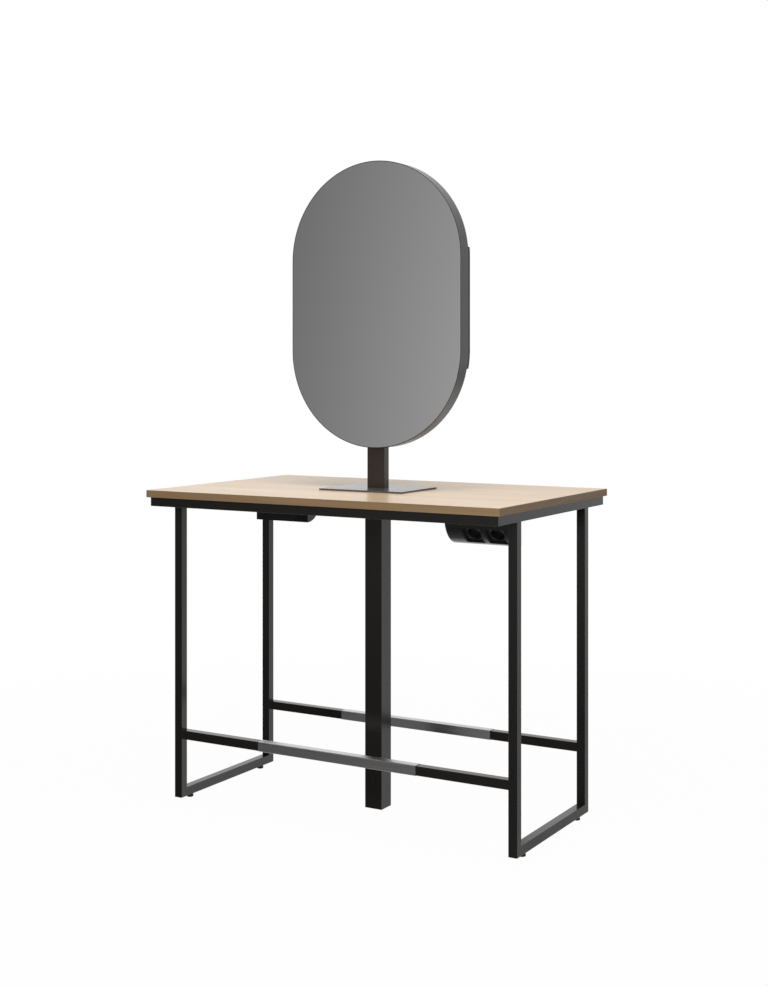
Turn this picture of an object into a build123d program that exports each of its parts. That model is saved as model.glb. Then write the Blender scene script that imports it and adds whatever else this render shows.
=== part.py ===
"""Double sided salon station: an oak top on a black tube frame, with a mirror for both sides.

Millimetres. The origin is on the floor under the middle of the top, +Z is up,
+X runs along the top and -Y is the front.
"""
import os
from math import cos, radians, sin

from build123d import *

# Top
TOP_LENGTH = 1100.0
TOP_DEPTH = 700.0
TOP_THICKNESS = 20.0
WORK_HEIGHT = 900.0
EDGE_BAND = 2.0
EDGE_BAND_ROUNDING = 0.8

# Square tube of the frame
TUBE = 25.0
TUBE_WALL = 1.5
TUBE_RADIUS = 1.0

# Where the frame stands under the top
APRON_INSET_X = 8.0
APRON_INSET_Y = 10.0
LEG_SETBACK = 118.0
FOOT_HEIGHT = 10.0
FOOTREST_CENTRE = 191.5

# Steel sleeves over the footrest bars
SLEEVE_LENGTH = 500.0
SLEEVE_WALL = 1.0
SLEEVE_GAP = 0.1

# Centre post
POST = 54.0
POST_WALL = 2.0
POST_RADIUS = 1.2
POST_FLOOR_GAP = 4.0
POST_OUTLET_RADIUS = 10.0
POST_OUTLET_BELOW_TOP = 45.0
HEAD_PLATE = 140.0
HEAD_PLATE_THICKNESS = 4.0
STUD_SPACING = 110.0

# Mirror stand
BASE_PLATE_LENGTH = 268.0
BASE_PLATE_DEPTH = 204.0
BASE_PLATE_THICKNESS = 5.0
BASE_PLATE_CORNER = 3.0
BASE_PLATE_ROUNDING = 0.6
UPRIGHT_WIDTH = 56.0
UPRIGHT_DEPTH = 25.0
UPRIGHT_WALL = 2.0
UPRIGHT_RADIUS = 0.8

# Mirror, an obround with straight sides
MIRROR_WIDTH = 550.0
MIRROR_HEIGHT = 809.0
MIRROR_BOTTOM = 1018.0
MIRROR_BAND = 1.0
MIRROR_BAND_ROUNDING = 0.3
GLASS = 5.0
GLASS_ARRIS = 1.0
BACKING = 5.5
UPRIGHT_REACH = 456.0
SLOT_GAP = 0.2

# Strips on the rear edge of the mirror
STRIP_WIDTH = 16.0
STRIP_THICKNESS = 9.0
STRIP_BOTTOM = 1241.0
STRIP_TOP = 1577.0

# Socket housings
SOCKET_RADIUS = 75.0
SOCKET_LENGTH = 186.5
SOCKET_WALL = 2.5
SOCKET_FAR_X = 499.0
SOCKET_BACK_Y = -115.0
SOCKET_CENTRES_X = (386.5, 453.5)
SOCKET_TILT = 43.5
SOCKET_OPENING = 55.0
SOCKET_CORNER = 5.0
INSERT_GAP = 0.3
INSERT_FACE = 63.0
INSERT_DEPTH = 20.0
INSERT_LIP = 1.0
INSERT_COLLAR = 1.5
WELL_RADIUS = 20.0
WELL_DEPTH = 17.0
PIN_SPACING = 19.0
PIN_HOLE_RADIUS = 2.6
SLEEVE_CONTACT_RADIUS = 3.2
SLEEVE_CONTACT_LENGTH = 11.0
EARTH_CLIP_WIDTH = 5.6
EARTH_CLIP_THICKNESS = 1.2
EARTH_GROOVE_DEPTH = 2.0
EARTH_GROOVE_GAP = 0.2
CARRIER_THICKNESS = 3.0
CARRIER_HOLE_RADIUS = 4.0
BACK_COVER_GAP = 0.3
CABLE_INLET_RADIUS = 6.0
CABLE_INLET_FROM_END = 28.5

# Levelling feet
FOOT_RADIUS = 10.0
FOOT_TOP_RADIUS = 8.5
FOOT_EDGE = 1.0
FOOT_OFFSET_Y = 177.0
FOOT_STUD_RADIUS = 4.0
FOOT_STUD_TOP = 30.0
FOOT_STUD_SEAT = 4.0
FOOT_NUT_FLATS = 13.0
FOOT_NUT_HEIGHT = 6.5
THREAD_GAP = 0.1

# Fasteners
SCREW_RADIUS = 2.0
SCREW_HEAD_RADIUS = 4.0
SCREW_HEAD_HEIGHT = 2.5
SCREW_BITE = 15.0
PILOT_GAP = 0.05
SCREW_CLEARANCE = 0.3
ACCESS_HOLE_RADIUS = 5.0
STUD_RADIUS = 3.0
STUD_CLEARANCE = 0.4
NUT_FLATS = 10.0
NUT_FLANGE_RADIUS = 7.0
NUT_FLANGE_HEIGHT = 1.2
NUT_HEIGHT = 6.0
MIRROR_SCREW_BITE = 4.0

# Levels and planes that follow from the driving dimensions
TOP_UNDERSIDE = WORK_HEIGHT - TOP_THICKNESS
APRON_BOTTOM = TOP_UNDERSIDE - TUBE
APRON_X = TOP_LENGTH / 2 - APRON_INSET_X
APRON_Y = TOP_DEPTH / 2 - APRON_INSET_Y
LEG_X = APRON_X
LEG_Y = TOP_DEPTH / 2 - LEG_SETBACK
HALF_TUBE = TUBE / 2
POST_TOP = TOP_UNDERSIDE - HEAD_PLATE_THICKNESS
PLATE_TOP = WORK_HEIGHT + BASE_PLATE_THICKNESS
MIRROR_CENTRE = MIRROR_BOTTOM + MIRROR_HEIGHT / 2
UPRIGHT_TOP = MIRROR_BOTTOM + UPRIGHT_REACH
CORE_HALF = UPRIGHT_DEPTH / 2
GLASS_BACK = CORE_HALF + BACKING
MIRROR_HALF = GLASS_BACK + GLASS
SOCKET_ARC_Z = APRON_BOTTOM
SOCKET_RISE = TOP_UNDERSIDE - SOCKET_ARC_Z
SOCKET_AXIS = (0, -cos(radians(SOCKET_TILT)), -sin(radians(SOCKET_TILT)))
INSERT_BACK = INSERT_FACE - INSERT_DEPTH
WELL_FLOOR = INSERT_FACE - WELL_DEPTH

STUD_PLACES = [(sx * STUD_SPACING / 2, sy * STUD_SPACING / 2) for sx in (-1, 1) for sy in (-1, 1)]
RAIL_SCREW_X = (-450.0, -150.0, 150.0, 450.0)
RAIL_SCREW_Y = (-100.0, 100.0)
FRONT_RAIL_SCREWS = [(x, HALF_TUBE - APRON_Y) for x in RAIL_SCREW_X]
REAR_RAIL_SCREWS = [(x, APRON_Y - HALF_TUBE) for x in RAIL_SCREW_X]
LEFT_RAIL_SCREWS = [(HALF_TUBE - APRON_X, y) for y in RAIL_SCREW_Y]
RIGHT_RAIL_SCREWS = [(APRON_X - HALF_TUBE, y) for y in RAIL_SCREW_Y]
RAIL_SCREWS = FRONT_RAIL_SCREWS + REAR_RAIL_SCREWS + LEFT_RAIL_SCREWS + RIGHT_RAIL_SCREWS
UNIT_SCREWS = [(x, y) for x in (337.0, 476.0) for y in (-172.0, -132.0)]
MIRROR_SCREWS = [(x, z) for x in (-13.0, 13.0) for z in (1120.0, 1400.0)]
MIRROR_BACKING_SIDES = {"front": -1, "rear": 1}

nodes = {}


def upright_cylinder(x, y, z_from, z_to, radius):
    """A cylinder along Z between two heights."""
    return extrude(Pos(x, y, z_from) * Circle(radius), amount=z_to - z_from)


def tube(start, end, width, depth, wall, radius):
    """A hollow tube with rounded corners from one point to another along a main axis."""
    start = Vector(*start)
    along = Vector(*end) - start
    across = (0, 1, 0) if abs(along.X) > 0 else (1, 0, 0)
    section = RectangleRounded(width, depth, radius)
    section -= RectangleRounded(width - 2 * wall, depth - 2 * wall, max(radius - wall, wall / 3))
    return extrude(Plane(origin=start, x_dir=across, z_dir=along) * section, amount=along.length)


def mitre(body, corner, into_body, into_neighbour):
    """Cut the end of a tube where it meets its neighbour at a corner."""
    facing = Vector(*into_body) - Vector(*into_neighbour)
    return split(body, bisect_by=Plane(origin=corner, z_dir=facing), keep=Keep.TOP)


def turned_to_rear(shape):
    """The same piece on the other side of the station, half a turn about the upright axis."""
    return Rot(0, 0, 180) * shape


def group(shapes):
    """Several separate solids that share one node."""
    return Compound([solid for shape in shapes for solid in shape.solids()])


# Tabletop panel, with pilot holes for the screws and through holes for the stand's studs
panel_length = TOP_LENGTH - 2 * EDGE_BAND
panel_depth = TOP_DEPTH - 2 * EDGE_BAND
panel = extrude(Pos(0, 0, TOP_UNDERSIDE) * Rectangle(panel_length, panel_depth), amount=TOP_THICKNESS)
turned_unit_screws = [(-x, -y) for x, y in UNIT_SCREWS]
for x, y in RAIL_SCREWS + UNIT_SCREWS + turned_unit_screws:
    panel -= upright_cylinder(x, y, TOP_UNDERSIDE, TOP_UNDERSIDE + SCREW_BITE + SCREW_CLEARANCE,
                              SCREW_RADIUS + PILOT_GAP)
for x, y in STUD_PLACES:
    panel -= upright_cylinder(x, y, TOP_UNDERSIDE, WORK_HEIGHT, STUD_RADIUS + STUD_CLEARANCE)
nodes["tabletop_panel"] = panel


def edge_strip(length, centre_x, centre_y, along_x, outward):
    """One edge band strip with its two outer long edges rounded."""
    size = (length, EDGE_BAND) if along_x else (EDGE_BAND, length)
    strip = extrude(Pos(centre_x, centre_y, TOP_UNDERSIDE) * Rectangle(*size), amount=TOP_THICKNESS)
    run, sideways = (Axis.X, Axis.Y) if along_x else (Axis.Y, Axis.X)
    long_edges = strip.edges().filter_by(run).group_by(sideways)
    return fillet(long_edges[-1 if outward > 0 else 0], EDGE_BAND_ROUNDING)


band_x = (TOP_LENGTH - EDGE_BAND) / 2
band_y = (TOP_DEPTH - EDGE_BAND) / 2
strips = [edge_strip(TOP_LENGTH, 0, side * band_y, True, side) for side in (-1, 1)]
strips += [edge_strip(panel_depth, side * band_x, 0, False, side) for side in (-1, 1)]
nodes["tabletop_edge_bands"] = group(strips)


def frame_tube(start, end):
    """A length of the frame's own square tube."""
    return tube(start, end, TUBE, TUBE, TUBE_WALL, TUBE_RADIUS)


def drilled_rail(rail, places):
    """A rail with screw holes in its upper wall and wider access holes in its lower wall."""
    for x, y in places:
        rail -= upright_cylinder(x, y, APRON_BOTTOM, APRON_BOTTOM + HALF_TUBE, ACCESS_HOLE_RADIUS)
        rail -= upright_cylinder(x, y, APRON_BOTTOM + HALF_TUBE, TOP_UNDERSIDE,
                                 SCREW_RADIUS + SCREW_CLEARANCE)
    return rail


# Apron rails, mitred at the four corners
apron_z = APRON_BOTTOM + HALF_TUBE
for name, side, places in (("front", -1, FRONT_RAIL_SCREWS), ("rear", 1, REAR_RAIL_SCREWS)):
    rail_y = side * (APRON_Y - HALF_TUBE)
    rail = frame_tube((-APRON_X, rail_y, apron_z), (APRON_X, rail_y, apron_z))
    for end in (-1, 1):
        rail = mitre(rail, (end * APRON_X, side * APRON_Y, apron_z), (-end, 0, 0), (0, -side, 0))
    nodes[name + "_apron_rail"] = drilled_rail(rail, places)
for name, side, places in (("left", -1, LEFT_RAIL_SCREWS), ("right", 1, RIGHT_RAIL_SCREWS)):
    rail_x = side * (APRON_X - HALF_TUBE)
    rail = frame_tube((rail_x, -APRON_Y, apron_z), (rail_x, APRON_Y, apron_z))
    for end in (-1, 1):
        rail = mitre(rail, (side * APRON_X, end * APRON_Y, apron_z), (0, -end, 0), (-side, 0, 0))
    nodes[name + "_apron_rail"] = drilled_rail(rail, places)

# Leg frames: two legs and a floor runner on each side, mitred at the floor
runner_z = FOOT_HEIGHT + HALF_TUBE
foot_nuts = []
for side_name, side in (("left", -1), ("right", 1)):
    leg_x = side * (LEG_X - HALF_TUBE)
    runner = frame_tube((leg_x, -LEG_Y, runner_z), (leg_x, LEG_Y, runner_z))
    for end_name, end in (("front", -1), ("rear", 1)):
        leg_y = end * (LEG_Y - HALF_TUBE)
        corner = (leg_x, end * LEG_Y, FOOT_HEIGHT)
        leg = frame_tube((leg_x, leg_y, FOOT_HEIGHT), (leg_x, leg_y, APRON_BOTTOM))
        nodes[f"{side_name}_{end_name}_leg"] = mitre(leg, corner, (0, 0, 1), (0, -end, 0))
        runner = mitre(runner, corner, (0, -end, 0), (0, 0, 1))
        foot_y = end * FOOT_OFFSET_Y
        runner -= upright_cylinder(leg_x, foot_y, FOOT_HEIGHT, FOOT_HEIGHT + HALF_TUBE,
                                   FOOT_STUD_RADIUS + SCREW_CLEARANCE)
        nut_seat = FOOT_HEIGHT + TUBE_WALL
        hexagon = RegularPolygon(FOOT_NUT_FLATS / 2, 6, major_radius=False)
        hexagon -= Circle(FOOT_STUD_RADIUS + THREAD_GAP)
        foot_nuts.append(extrude(Pos(leg_x, foot_y, nut_seat) * hexagon, amount=FOOT_NUT_HEIGHT))
    nodes[side_name + "_floor_runner"] = runner
nodes["foot_nuts"] = group(foot_nuts)

# Levelling feet: a pad on a threaded stud under each end of the runners
for side_name, side in (("left", -1), ("right", 1)):
    for end_name, end in (("front", -1), ("rear", 1)):
        foot = Pos(side * (LEG_X - HALF_TUBE), end * FOOT_OFFSET_Y, 0)
        outline = Polyline((0, 0), (FOOT_RADIUS - FOOT_EDGE, 0), (FOOT_RADIUS, FOOT_EDGE),
                           (FOOT_RADIUS, FOOT_HEIGHT / 2), (FOOT_TOP_RADIUS, FOOT_HEIGHT),
                           (0, FOOT_HEIGHT), close=True)
        pad = revolve(Plane.XZ * make_face(outline), axis=Axis.Z)
        pad -= upright_cylinder(0, 0, FOOT_STUD_SEAT, FOOT_HEIGHT, FOOT_STUD_RADIUS + PILOT_GAP)
        stud = upright_cylinder(0, 0, FOOT_STUD_SEAT, FOOT_STUD_TOP, FOOT_STUD_RADIUS)
        stud = chamfer(stud.edges().group_by(Axis.Z)[-1], FOOT_EDGE)
        nodes[f"{side_name}_{end_name}_foot_pad"] = foot * pad
        nodes[f"{side_name}_{end_name}_foot_stud"] = foot * stud

# Footrest bars between the legs, each with a steel sleeve over its middle
bar_half = LEG_X - TUBE
sleeve_outer = TUBE + 2 * (SLEEVE_GAP + SLEEVE_WALL)
sleeve_radius = TUBE_RADIUS + SLEEVE_GAP + SLEEVE_WALL
for name, side in (("front", -1), ("rear", 1)):
    bar_y = side * (LEG_Y - HALF_TUBE)
    nodes[name + "_footrest_bar"] = frame_tube((-bar_half, bar_y, FOOTREST_CENTRE),
                                               (bar_half, bar_y, FOOTREST_CENTRE))
    nodes[name + "_footrest_sleeve"] = tube((-SLEEVE_LENGTH / 2, bar_y, FOOTREST_CENTRE),
                                            (SLEEVE_LENGTH / 2, bar_y, FOOTREST_CENTRE),
                                            sleeve_outer, sleeve_outer, SLEEVE_WALL, sleeve_radius)

# Centre post, open at the floor, with a cable outlet on each side below its head plate
post = tube((0, 0, POST_FLOOR_GAP), (0, 0, POST_TOP), POST, POST, POST_WALL, POST_RADIUS)
outlet_plane = Plane(origin=(-POST, 0, TOP_UNDERSIDE - POST_OUTLET_BELOW_TOP), z_dir=(1, 0, 0))
post -= extrude(outlet_plane * Circle(POST_OUTLET_RADIUS), amount=2 * POST)
nodes["centre_post"] = post
head_plate = extrude(Pos(0, 0, POST_TOP) * Rectangle(HEAD_PLATE, HEAD_PLATE), amount=HEAD_PLATE_THICKNESS)
for x, y in STUD_PLACES:
    head_plate -= upright_cylinder(x, y, POST_TOP, TOP_UNDERSIDE, STUD_RADIUS + STUD_CLEARANCE)
nodes["post_head_plate"] = head_plate

# Mirror stand: base plate on the top, clamped through it to the head plate by studs and nuts
plate_outline = RectangleRounded(BASE_PLATE_LENGTH, BASE_PLATE_DEPTH, BASE_PLATE_CORNER)
plate = extrude(Pos(0, 0, WORK_HEIGHT) * plate_outline, amount=BASE_PLATE_THICKNESS)
nodes["mirror_base_plate"] = fillet(plate.edges().group_by(Axis.Z)[-1], BASE_PLATE_ROUNDING)
nut_bottom = POST_TOP - NUT_HEIGHT
nut_outline = RegularPolygon(NUT_FLATS / 2, 6, major_radius=False)
studs = []
nuts = []
for x, y in STUD_PLACES:
    studs.append(upright_cylinder(x, y, nut_bottom - NUT_FLANGE_HEIGHT, WORK_HEIGHT, STUD_RADIUS))
    nut = extrude(Pos(x, y, nut_bottom) * nut_outline, amount=NUT_HEIGHT)
    nut += upright_cylinder(x, y, POST_TOP - NUT_FLANGE_HEIGHT, POST_TOP, NUT_FLANGE_RADIUS)
    nuts.append(nut - upright_cylinder(x, y, nut_bottom, POST_TOP, STUD_RADIUS + THREAD_GAP))
nodes["base_plate_studs"] = group(studs)
nodes["base_plate_nuts"] = group(nuts)


def cross_cylinder(x, z, y_from, y_to, radius):
    """A cylinder along Y between two depths."""
    plane = Plane(origin=(x, y_from, z), x_dir=(1, 0, 0), z_dir=(0, 1, 0))
    return extrude(plane * Circle(radius), amount=y_to - y_from)


def countersunk(x, z, gap):
    """A countersunk head in the upright's rear wall and its shank towards the front."""
    wall_inside = CORE_HALF - UPRIGHT_WALL
    inner_plane = Plane(origin=(x, wall_inside, z), x_dir=(1, 0, 0), z_dir=(0, 1, 0))
    outer_plane = Plane(origin=(x, CORE_HALF, z), x_dir=(1, 0, 0), z_dir=(0, 1, 0))
    head = loft([inner_plane * Circle(SCREW_RADIUS + gap), outer_plane * Circle(SCREW_HEAD_RADIUS + gap)])
    tip = -CORE_HALF - MIRROR_SCREW_BITE - gap
    return head + cross_cylinder(x, z, tip, wall_inside, SCREW_RADIUS + gap)


upright = tube((0, 0, PLATE_TOP), (0, 0, UPRIGHT_TOP),
               UPRIGHT_WIDTH, UPRIGHT_DEPTH, UPRIGHT_WALL, UPRIGHT_RADIUS)
for x, z in MIRROR_SCREWS:
    upright -= countersunk(x, z, PILOT_GAP)
nodes["mirror_upright"] = upright
nodes["mirror_fixing_screws"] = group([countersunk(x, z, 0) for x, z in MIRROR_SCREWS])


def obround(inset, y_from, y_to):
    """A slab of the mirror's outline, drawn in by an inset, between two depths."""
    outline = SlotOverall(MIRROR_HEIGHT - 2 * inset, MIRROR_WIDTH - 2 * inset, rotation=90)
    plane = Plane(origin=(0, y_from, MIRROR_CENTRE), x_dir=(1, 0, 0), z_dir=(0, 1, 0))
    return extrude(plane * outline, amount=y_to - y_from)


# Mirror: core board, backing boards, glass on both faces and an edge band around them
slot_bottom = MIRROR_BOTTOM - MIRROR_BAND
slot = Pos(0, 0, slot_bottom) * extrude(
    Rectangle(UPRIGHT_WIDTH + 2 * SLOT_GAP, UPRIGHT_DEPTH + 2 * SLOT_GAP),
    amount=UPRIGHT_TOP + SLOT_GAP - slot_bottom)
nodes["mirror_core"] = obround(MIRROR_BAND, -CORE_HALF, CORE_HALF) - slot
for name, side in MIRROR_BACKING_SIDES.items():
    backing = obround(MIRROR_BAND, *sorted((side * CORE_HALF, side * GLASS_BACK)))
    glass = obround(MIRROR_BAND, *sorted((side * GLASS_BACK, side * MIRROR_HALF)))
    glass = chamfer(glass.faces().sort_by(Axis.Y)[-1 if side > 0 else 0].edges(), GLASS_ARRIS)
    if name == "front":
        for x, z in MIRROR_SCREWS:
            backing -= countersunk(x, z, PILOT_GAP)
    nodes[name + "_mirror_backing"] = backing
    nodes[name + "_mirror_glass"] = glass
rim = obround(0, -MIRROR_HALF, MIRROR_HALF)
rim = fillet(rim.faces().filter_by(Axis.Y).edges(), MIRROR_BAND_ROUNDING)
nodes["mirror_edge_band"] = rim - obround(MIRROR_BAND, -MIRROR_HALF, MIRROR_HALF) - slot

# Slim strips that follow the mirror's outline on the rear, left and right
ring = obround(0, MIRROR_HALF, MIRROR_HALF + STRIP_THICKNESS)
ring -= obround(STRIP_WIDTH, MIRROR_HALF, MIRROR_HALF + STRIP_THICKNESS)
strip_window = Pos(0, 0, STRIP_BOTTOM) * extrude(Rectangle(MIRROR_WIDTH * 2, MIRROR_WIDTH),
                                                 amount=STRIP_TOP - STRIP_BOTTOM)
nodes["rear_edge_strips"] = group([ring & strip_window])

# Socket housing profile: p runs forward from the flat back, q up from the centre of the arc
unit_plane = Plane(origin=(SOCKET_FAR_X, SOCKET_BACK_Y, SOCKET_ARC_Z), x_dir=(0, -1, 0), z_dir=(-1, 0, 0))
inner_length = SOCKET_LENGTH - 2 * SOCKET_WALL
inner_plane = unit_plane.offset(SOCKET_WALL)


def quarter_profile(inset):
    """The quarter-round outline with its straight part up to the top, drawn in by an inset."""
    reach = SOCKET_RADIUS - inset
    rise = SOCKET_RISE - inset
    sides = Polyline((0, -reach), (0, rise), (reach, rise), (reach, 0))
    return make_face(sides + CenterArc((0, 0), reach, 0, -90))


def socket_plane(x, distance):
    """A plane square to a socket's slanted axis, at a distance from the centre of the arc."""
    centre = Vector(x, SOCKET_BACK_Y, SOCKET_ARC_Z)
    return Plane(origin=centre + Vector(*SOCKET_AXIS) * distance, x_dir=(1, 0, 0), z_dir=SOCKET_AXIS)


def socket_square(x, u_from, u_to, inset):
    """A rounded square block on a socket's slanted axis, drawn in from the opening by an inset."""
    side = SOCKET_OPENING - 2 * inset
    section = RectangleRounded(side, side, SOCKET_CORNER - inset)
    return extrude(socket_plane(x, u_from) * section, amount=u_to - u_from)


def socket_solid(x, u_from, u_to, radius, across=0.0):
    """A cylinder on a socket's slanted axis, between two distances from the centre of the arc."""
    return extrude(socket_plane(x, u_from) * Pos(across, 0) * Circle(radius), amount=u_to - u_from)


def socket_block(x, u_from, u_to, width, low, high):
    """A block beside a socket's slanted axis, between two offsets square to it."""
    section = Pos(0, (low + high) / 2) * Rectangle(width, high - low)
    return extrude(socket_plane(x, u_from) * section, amount=u_to - u_from)


def socket_insert(x):
    """A square insert with a collar, a round plug well, two pin holes and grooves for the earth clips."""
    body = socket_square(x, INSERT_BACK, INSERT_FACE, INSERT_GAP)
    body -= socket_solid(x, WELL_FLOOR, INSERT_FACE, WELL_RADIUS)
    well_mouth = body.faces().sort_by(Axis((x, 0, 0), SOCKET_AXIS))[-1].inner_wires().edges()
    body = fillet(well_mouth, INSERT_LIP)
    collar = socket_square(x, INSERT_FACE, SOCKET_RADIUS, INSERT_GAP)
    collar -= socket_square(x, INSERT_FACE, SOCKET_RADIUS, INSERT_GAP + INSERT_COLLAR)
    body += collar & extrude(inner_plane * quarter_profile(SOCKET_WALL / 2), amount=inner_length)
    for side in (-1, 1):
        body -= socket_solid(x, INSERT_BACK, WELL_FLOOR, PIN_HOLE_RADIUS, across=side * PIN_SPACING / 2)
        groove_width = EARTH_CLIP_WIDTH + 2 * EARTH_GROOVE_GAP
        near_wall = side * (WELL_RADIUS - EARTH_GROOVE_DEPTH)
        far_wall = side * (WELL_RADIUS + EARTH_GROOVE_DEPTH)
        body -= socket_block(x, WELL_FLOOR, INSERT_FACE, groove_width, *sorted((near_wall, far_wall)))
    return body


def socket_contacts(x):
    """Two pin sleeves behind an insert and the two earth clips in its well."""
    pieces = []
    for side in (-1, 1):
        sleeve_from = INSERT_BACK - SLEEVE_CONTACT_LENGTH
        pin = side * PIN_SPACING / 2
        sleeve = socket_solid(x, sleeve_from, INSERT_BACK, SLEEVE_CONTACT_RADIUS, across=pin)
        pieces.append(sleeve - socket_solid(x, sleeve_from, INSERT_BACK, PIN_HOLE_RADIUS, across=pin))
        outer = WELL_RADIUS + EARTH_GROOVE_DEPTH
        offsets = sorted((side * (outer - EARTH_CLIP_THICKNESS), side * outer))
        pieces.append(socket_block(x, WELL_FLOOR, INSERT_FACE - INSERT_LIP, EARTH_CLIP_WIDTH, *offsets))
    return pieces


def pan_screw(x, y, seat):
    """A pan head screw driven upwards, its head under the seat."""
    head = upright_cylinder(x, y, seat - SCREW_HEAD_HEIGHT, seat, SCREW_HEAD_RADIUS)
    head = fillet(head.edges().group_by(Axis.Z)[0], SCREW_HEAD_HEIGHT / 3)
    return head + upright_cylinder(x, y, seat, TOP_UNDERSIDE + SCREW_BITE, SCREW_RADIUS)


# The front socket unit
unit_top_inside = TOP_UNDERSIDE - SOCKET_WALL
cover_profile = quarter_profile(0) - quarter_profile(SOCKET_WALL)
cover = extrude(inner_plane * cover_profile, amount=inner_length)
for x in SOCKET_CENTRES_X:
    cover -= socket_square(x, INSERT_BACK, 2 * SOCKET_RADIUS, 0)
for x, y in UNIT_SCREWS:
    cover -= upright_cylinder(x, y, unit_top_inside, TOP_UNDERSIDE, SCREW_RADIUS + SCREW_CLEARANCE)

back_low = SOCKET_WALL + BACK_COVER_GAP - SOCKET_RADIUS
back_high = SOCKET_RISE - SOCKET_WALL
back_centre = Pos(SOCKET_WALL / 2, (back_low + back_high) / 2)
back = extrude(inner_plane * back_centre * Rectangle(SOCKET_WALL, back_high - back_low), amount=inner_length)
inlet_x = SOCKET_FAR_X - SOCKET_LENGTH + CABLE_INLET_FROM_END
back -= cross_cylinder(inlet_x, SOCKET_ARC_Z, SOCKET_BACK_Y - SOCKET_WALL, SOCKET_BACK_Y, CABLE_INLET_RADIUS)

end_cap = extrude(unit_plane * quarter_profile(0), amount=SOCKET_WALL)
far_end_cap = Pos(SOCKET_WALL - SOCKET_LENGTH, 0, 0) * end_cap

unit_middle_x = SOCKET_FAR_X - SOCKET_LENGTH / 2
carrier = socket_block(unit_middle_x, INSERT_BACK - CARRIER_THICKNESS, INSERT_BACK, inner_length,
                       -2 * SOCKET_RADIUS, 2 * SOCKET_RADIUS)
room = extrude(inner_plane * quarter_profile(SOCKET_WALL), amount=inner_length) - back
carrier &= room
for x in SOCKET_CENTRES_X:
    for side in (-1, 1):
        carrier -= socket_solid(x, INSERT_BACK - CARRIER_THICKNESS, INSERT_BACK, CARRIER_HOLE_RADIUS,
                                across=side * PIN_SPACING / 2)

front_unit = {
    "socket_cover": cover,
    "socket_back": back,
    "socket_end_caps": group([end_cap, far_end_cap]),
    "socket_carrier": carrier,
    "socket_inserts": group([socket_insert(x) for x in SOCKET_CENTRES_X]),
    "socket_contacts": group([piece for x in SOCKET_CENTRES_X for piece in socket_contacts(x)]),
    "socket_screws": group([pan_screw(x, y, unit_top_inside) for x, y in UNIT_SCREWS]),
}
for name, shape in front_unit.items():
    nodes["front_" + name] = shape
    nodes["rear_" + name] = turned_to_rear(shape)

# Screws that hold the top to the apron, seated inside the rails on their upper wall
nodes["tabletop_screws"] = group([pan_screw(x, y, TOP_UNDERSIDE - TUBE_WALL) for x, y in RAIL_SCREWS])

os.makedirs("parts", exist_ok=True)
for name, shape in nodes.items():
    export_step(shape, f"parts/{name}.step")
print(len(nodes), "nodes written")
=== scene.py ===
"""Double sided salon station: its finishes, its small turned fittings and a plain studio stage.

Metres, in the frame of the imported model: the foot pads stand at Z 0, +X runs along the top and -Y is the
front. The stage's floor lies a little below the pads.
"""
from math import cos, pi, radians, sin

import bmesh
import bpy
from bpy.props import FloatProperty, FloatVectorProperty, IntProperty, PointerProperty
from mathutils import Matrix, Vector


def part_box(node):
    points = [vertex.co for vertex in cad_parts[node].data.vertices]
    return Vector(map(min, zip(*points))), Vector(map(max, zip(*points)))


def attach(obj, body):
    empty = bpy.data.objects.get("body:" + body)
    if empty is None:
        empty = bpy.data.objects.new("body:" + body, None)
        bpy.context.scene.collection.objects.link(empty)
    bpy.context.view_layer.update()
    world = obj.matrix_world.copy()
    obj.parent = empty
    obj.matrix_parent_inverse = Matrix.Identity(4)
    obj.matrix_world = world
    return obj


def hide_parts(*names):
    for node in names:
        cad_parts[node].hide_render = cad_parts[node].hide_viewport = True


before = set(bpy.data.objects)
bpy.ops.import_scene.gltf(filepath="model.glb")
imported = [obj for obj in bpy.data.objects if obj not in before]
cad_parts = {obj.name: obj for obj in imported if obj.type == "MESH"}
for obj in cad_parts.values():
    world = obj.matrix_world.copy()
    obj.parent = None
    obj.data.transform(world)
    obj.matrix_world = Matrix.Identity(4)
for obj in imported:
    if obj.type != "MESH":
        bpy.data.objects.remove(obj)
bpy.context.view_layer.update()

bl_info = {
    "name": "Double Sided Salon Station",
    "version": (1, 0, 0),
    "blender": (4, 5, 0),
    "location": "View3D > Sidebar > Salon Station",
    "description": "Finishes, fittings and studio stage of a double sided salon station",
    "category": "Object",
}

FEET = [f"{side}_{end}_foot" for side in ("left", "right") for end in ("front", "rear")]
QUARTER_TURN = (0.0, 0.0, pi / 2)
WHITE = (1.0, 1.0, 1.0)

# The photograph's frame, its fitted focal length and horizon in pixels, and the camera's sensor and reach
PHOTO_WIDTH = 768
PHOTO_HEIGHT = 986
FOCAL_PIXELS = 1497.1
HORIZON_ROW = 368.1
SENSOR = 36.0
VIEW_REACH = 200.0

# Oak boards: their width, the place of a joint, and the shift of each board's own grain along and across
BOARD_WIDTH = 0.117
BOARD_JOINT = 0.031
GRAIN_SHIFT_ALONG = 3.7
GRAIN_SHIFT_ACROSS = 0.9

# A reach well past the top, for oak that has no side bands
NO_SIDE_BANDS = 10.0

# How much the figure, the streaks, a board's own tone and the pores each darken the oak
FIGURE_DEPTH = 0.40
STREAK_DEPTH = 0.26
TONE_DEPTH = 0.16
PORE_DEPTH = 0.42

# How much rougher a pore is, and how hollow a streak is beside a pore
PORE_ROUGHNESS = 0.12
STREAK_HOLLOW = 0.3

# Strength of the reflection on oak and on moulded plastic
OAK_SPECULAR = 0.22
MOULDED_SPECULAR = 0.36

# The part of a noise's range that holds nearly all of its values
NOISE_SPAN = (0.3, 0.7)

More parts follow.
